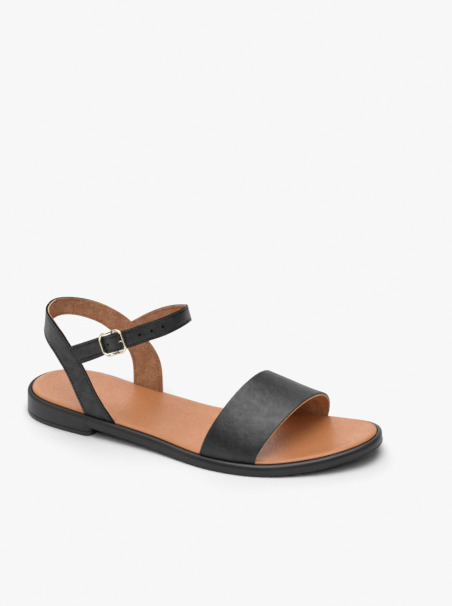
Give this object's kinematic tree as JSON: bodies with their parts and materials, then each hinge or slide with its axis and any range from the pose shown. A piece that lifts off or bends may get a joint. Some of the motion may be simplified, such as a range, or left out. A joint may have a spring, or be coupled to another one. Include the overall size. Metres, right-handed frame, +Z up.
{
  "type": "flat sandal",
  "caption": "Right-foot flat sandal with a wide toe strap, a back strap, a buckled ankle strap, a padded insole and a moulded sole with a low heel.",
  "frame": {"origin": "on the floor under the middle of the shoe's bounding box", "axes": "+X to the toe, +Y to the inner (medial) side of the foot, +Z up from the floor"},
  "size_m": [0.253, 0.0922, 0.0941],
  "materials": {
    "black rubber": "matte moulded rubber",
    "tan leather": "smooth tan leather with a soft sheen",
    "black leather": "smooth black leather, tan suede inside",
    "pale gold": "polished pale gold plating"
  },
  "bodies": {
    "root": {"outsole": "black rubber", "heel_top_lift": "black rubber", "insole": "tan leather", "toe_strap": "black leather", "back_and_ankle_strap": "black leather", "buckle_frame": "pale gold", "buckle_prong": "pale gold"}
  },
  "joints": []
}
